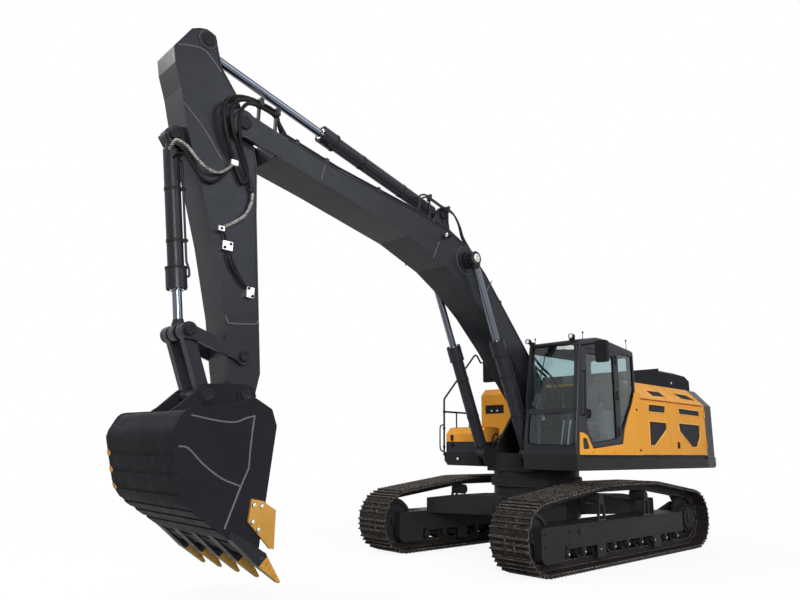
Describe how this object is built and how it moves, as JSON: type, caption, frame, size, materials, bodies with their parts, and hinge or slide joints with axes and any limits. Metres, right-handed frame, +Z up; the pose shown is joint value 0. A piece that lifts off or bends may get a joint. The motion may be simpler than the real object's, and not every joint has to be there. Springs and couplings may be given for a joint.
{
  "type": "crawler excavator",
  "caption": "Crawler excavator with a closed cab, engine house, hydraulic boom, arm and toothed backhoe bucket on long tracks.",
  "frame": {"origin": "on the ground, under the middle of the machine's overall length and width, mirrors included", "axes": "+X forward along the tracks, towards the bucket, +Y to the machine's left, +Z up"},
  "size_m": [10.519, 3.51, 6.226],
  "materials": {
    "body_paint": "satin amber paint",
    "dark_paint": "satin charcoal paint",
    "frame_paint": "satin dark grey paint, dusty",
    "track_steel": "bare dark steel, dusty",
    "glass": "clear",
    "grille_mesh": "matt black",
    "chrome_rod": "polished",
    "trim": "matt black",
    "tooth_bronze": "satin bronze paint",
    "lamp": "clear lens in a black housing",
    "seat_cloth": "dark cloth"
  },
  "bodies": {
    "undercarriage": {"car_body": "frame_paint", "slew_ring": "frame_paint", "track_frame_left": "frame_paint", "track_frame_right": "frame_paint", "track_left": "track_steel", "track_right": "track_steel", "idlers": "frame_paint", "drive_sprockets": "frame_paint", "final_drives": "frame_paint", "travel_motors": "frame_paint", "track_rollers": "frame_paint", "carrier_rollers": "frame_paint"},
    "upperstructure": {"revolving_frame": "dark_paint", "counterweight": "dark_paint", "cab_shell": "dark_paint", "cab_glass": "glass", "operator_seat": "seat_cloth", "control_consoles": "trim", "engine_block": "dark_paint", "house_panels": "body_paint", "side_fairing": "body_paint", "fuel_tank": "body_paint", "toolbox": "dark_paint", "handrails": "trim", "mirrors": "trim", "work_lamps": "lamp", "house_grilles": "grille_mesh"},
    "cab_door": {"cab_door": "dark_paint", "cab_door_glass": "glass"},
    "left_front_door": {"left_front_door": "body_paint", "left_front_door_grilles": "grille_mesh"},
    "left_rear_door": {"left_rear_door": "body_paint", "left_rear_door_grilles": "grille_mesh"},
    "right_door": {"right_door": "body_paint", "right_door_grilles": "grille_mesh"},
    "toolbox_lid": {"toolbox_lid": "body_paint"},
    "engine_hood": {"engine_hood": "dark_paint"},
    "boom": {"boom": "dark_paint", "boom_lamp": "lamp", "boom_pipes": "trim"},
    "boom_cylinder_left_barrel": {"boom_cylinder_left_barrel": "dark_paint"},
    "boom_cylinder_left_rod": {"boom_cylinder_left_rod": "chrome_rod"},
    "boom_cylinder_right_barrel": {"boom_cylinder_right_barrel": "dark_paint"},
    "boom_cylinder_right_rod": {"boom_cylinder_right_rod": "chrome_rod"},
    "arm": {"arm": "dark_paint"},
    "arm_cylinder_barrel": {"arm_cylinder_barrel": "dark_paint"},
    "arm_cylinder_rod": {"arm_cylinder_rod": "chrome_rod"},
    "bucket_cylinder_barrel": {"bucket_cylinder_barrel": "dark_paint"},
    "bucket_cylinder_rod": {"bucket_cylinder_rod": "chrome_rod"},
    "side_links": {"side_links": "dark_paint"},
    "bucket_link": {"bucket_link": "dark_paint"},
    "bucket": {"bucket": "dark_paint", "bucket_teeth": "tooth_bronze", "side_cutters": "tooth_bronze"}
  },
  "joints": [
    {"name": "swing", "type": "hinge", "parent": "undercarriage", "child": "upperstructure", "pos_m": [-1.52, -0.16, 1.2], "axis": [0, 0, 1], "continuous": true},
    {"name": "boom_lift", "type": "hinge", "parent": "upperstructure", "child": "boom", "pos_m": [-1.57, -0.16, 2.18], "axis": [0, -1, 0], "range_deg": [-66, 30]},
    {"name": "arm_swing", "type": "hinge", "parent": "boom", "child": "arm", "pos_m": [4.4, -0.16, 5.2], "axis": [0, -1, 0], "range_deg": [-20, 88]},
    {"name": "bucket_curl", "type": "hinge", "parent": "arm", "child": "bucket", "pos_m": [4.14, -0.16, 2.1], "axis": [0, -1, 0], "range_deg": [-125, 20]},
    {"name": "cab_door_swing", "type": "hinge", "parent": "upperstructure", "child": "cab_door", "pos_m": [-1.608, 1.343, 2.4], "axis": [0, 0, -1], "range_deg": [-150, 0]},
    {"name": "left_front_door_swing", "type": "hinge", "parent": "upperstructure", "child": "left_front_door", "pos_m": [-2.303, 1.343, 1.975], "axis": [0, 0, -1], "range_deg": [0, 100]},
    {"name": "left_rear_door_swing", "type": "hinge", "parent": "upperstructure", "child": "left_rear_door", "pos_m": [-4.713, 1.343, 1.975], "axis": [0, 0, 1], "range_deg": [0, 100]},
    {"name": "right_door_swing", "type": "hinge", "parent": "upperstructure", "child": "right_door", "pos_m": [-4.713, -1.663, 1.975], "axis": [0, 0, -1], "range_deg": [0, 100]},
    {"name": "toolbox_lid_lift", "type": "hinge", "parent": "upperstructure", "child": "toolbox_lid", "pos_m": [-1.413, -1.2175, 1.69], "axis": [0, -1, 0], "range_deg": [0, 80]},
    {"name": "engine_hood_lift", "type": "hinge", "parent": "upperstructure", "child": "engine_hood", "pos_m": [-5.09, 0.12, 2.725], "axis": [0, -1, 0], "range_deg": [0, 60]},
    {"name": "boom_cylinder_left_swing", "type": "hinge", "parent": "upperstructure", "child": "boom_cylinder_left_barrel", "pos_m": [-0.7, 0.28, 1.5], "axis": [0, -1, 0], "range_deg": [-70, 34]},
    {"name": "boom_cylinder_left_stroke", "type": "slide", "parent": "boom_cylinder_left_barrel", "child": "boom_cylinder_left_rod", "axis": [0.3924, 0, 0.9198], "range_m": [-1.2, 0.56]},
    {"name": "boom_cylinder_right_swing", "type": "hinge", "parent": "upperstructure", "child": "boom_cylinder_right_barrel", "pos_m": [-0.7, -0.6, 1.5], "axis": [0, -1, 0], "range_deg": [-70, 34]},
    {"name": "boom_cylinder_right_stroke", "type": "slide", "parent": "boom_cylinder_right_barrel", "child": "boom_cylinder_right_rod", "axis": [0.3924, 0, 0.9198], "range_m": [-1.2, 0.56]},
    {"name": "arm_cylinder_swing", "type": "hinge", "parent": "boom", "child": "arm_cylinder_barrel", "pos_m": [0.85, -0.16, 5.05], "axis": [0, -1, 0], "range_deg": [-2, 4]},
    {"name": "arm_cylinder_stroke", "type": "slide", "parent": "arm_cylinder_barrel", "child": "arm_cylinder_rod", "axis": [0.9677, 0, 0.2521], "range_m": [-1.3, 0.3]},
    {"name": "side_links_swing", "type": "hinge", "parent": "arm", "child": "side_links", "pos_m": [4.18, -0.16, 2.52], "axis": [0, -1, 0], "range_deg": [-82, 15]},
    {"name": "bucket_link_swing", "type": "hinge", "parent": "side_links", "child": "bucket_link", "pos_m": [4.83, -0.16, 2.73], "axis": [0, -1, 0], "range_deg": [-7, 33]},
    {"name": "bucket_cylinder_swing", "type": "hinge", "parent": "arm", "child": "bucket_cylinder_barrel", "pos_m": [5.12, -0.16, 4.88], "axis": [0, -1, 0], "range_deg": [-4, 4]},
    {"name": "bucket_cylinder_stroke", "type": "slide", "parent": "bucket_cylinder_barrel", "child": "bucket_cylinder_rod", "axis": [-0.1337, 0, -0.991], "range_m": [-0.16, 0.93]}
  ],
  "couplings": [
    {"joint": "boom_cylinder_left_swing", "follows": "boom_lift", "ratio": 1.0192},
    {"joint": "boom_cylinder_left_stroke", "follows": "boom_lift", "m_per_rad": 0.95},
    {"joint": "boom_cylinder_right_swing", "follows": "boom_lift", "ratio": 1.0192},
    {"joint": "boom_cylinder_right_stroke", "follows": "boom_lift", "m_per_rad": 0.95},
    {"joint": "arm_cylinder_swing", "follows": "arm_swing", "ratio": -0.005},
    {"joint": "arm_cylinder_stroke", "follows": "arm_swing", "m_per_rad": -0.8176},
    {"joint": "side_links_swing", "follows": "bucket_curl", "ratio": 0.64},
    {"joint": "bucket_link_swing", "follows": "bucket_curl", "ratio": -0.25},
    {"joint": "bucket_cylinder_swing", "follows": "bucket_curl", "ratio": 0.02},
    {"joint": "bucket_cylinder_stroke", "follows": "bucket_curl", "m_per_rad": -0.42}
  ]
}
